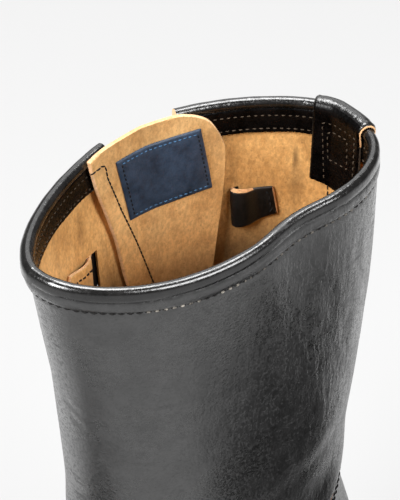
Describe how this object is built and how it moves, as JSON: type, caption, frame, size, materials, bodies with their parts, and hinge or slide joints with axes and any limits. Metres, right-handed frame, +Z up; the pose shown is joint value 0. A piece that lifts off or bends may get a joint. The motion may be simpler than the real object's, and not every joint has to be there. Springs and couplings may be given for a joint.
{
  "type": "engineer boot",
  "caption": "Pull-on engineer boot for the right foot, black leather with a tan inside, a V slit with a tan tongue, strap closures and a stacked heel.",
  "frame": {"origin": "centre of the bounding box on the floor under the sole", "axes": "+X to the toe, +Y to the inner (medial) side of the foot, +Z up the shaft"},
  "size_m": [0.2999, 0.112, 0.3031],
  "materials": {
    "shaft_leather": "smooth black leather, satin, worn soft",
    "trim_leather": "black leather, semi-gloss",
    "tan_leather": "natural tan flesh side, matte",
    "sole_rubber": "black rubber, matte",
    "sole_leather": "black edge-dressed sole leather",
    "buckle_metal": "nickel-look wire, satin",
    "strap_leather": "black strap leather, satin",
    "blue_leather": "dark blue leather, satin, left bare"
  },
  "bodies": {
    "root": {"backstay": "shaft_leather", "collar_binding": "trim_leather", "collar_facing": "trim_leather", "counter": "shaft_leather", "gusset_tongue": "tan_leather", "heel_lift": "sole_rubber", "heel_stack": "sole_leather", "insole": "tan_leather", "instep_buckle": "buckle_metal", "instep_chape": "strap_leather", "instep_keeper": "strap_leather", "instep_prong": "buckle_metal", "instep_strap": "strap_leather", "label_patch": "blue_leather", "midsole": "sole_leather", "outsole": "sole_rubber", "top_buckle": "buckle_metal", "top_chape": "strap_leather", "top_keeper": "strap_leather", "top_prong": "buckle_metal", "top_strap": "strap_leather", "upper": "shaft_leather", "vamp": "shaft_leather", "welt": "sole_leather"}
  },
  "joints": []
}
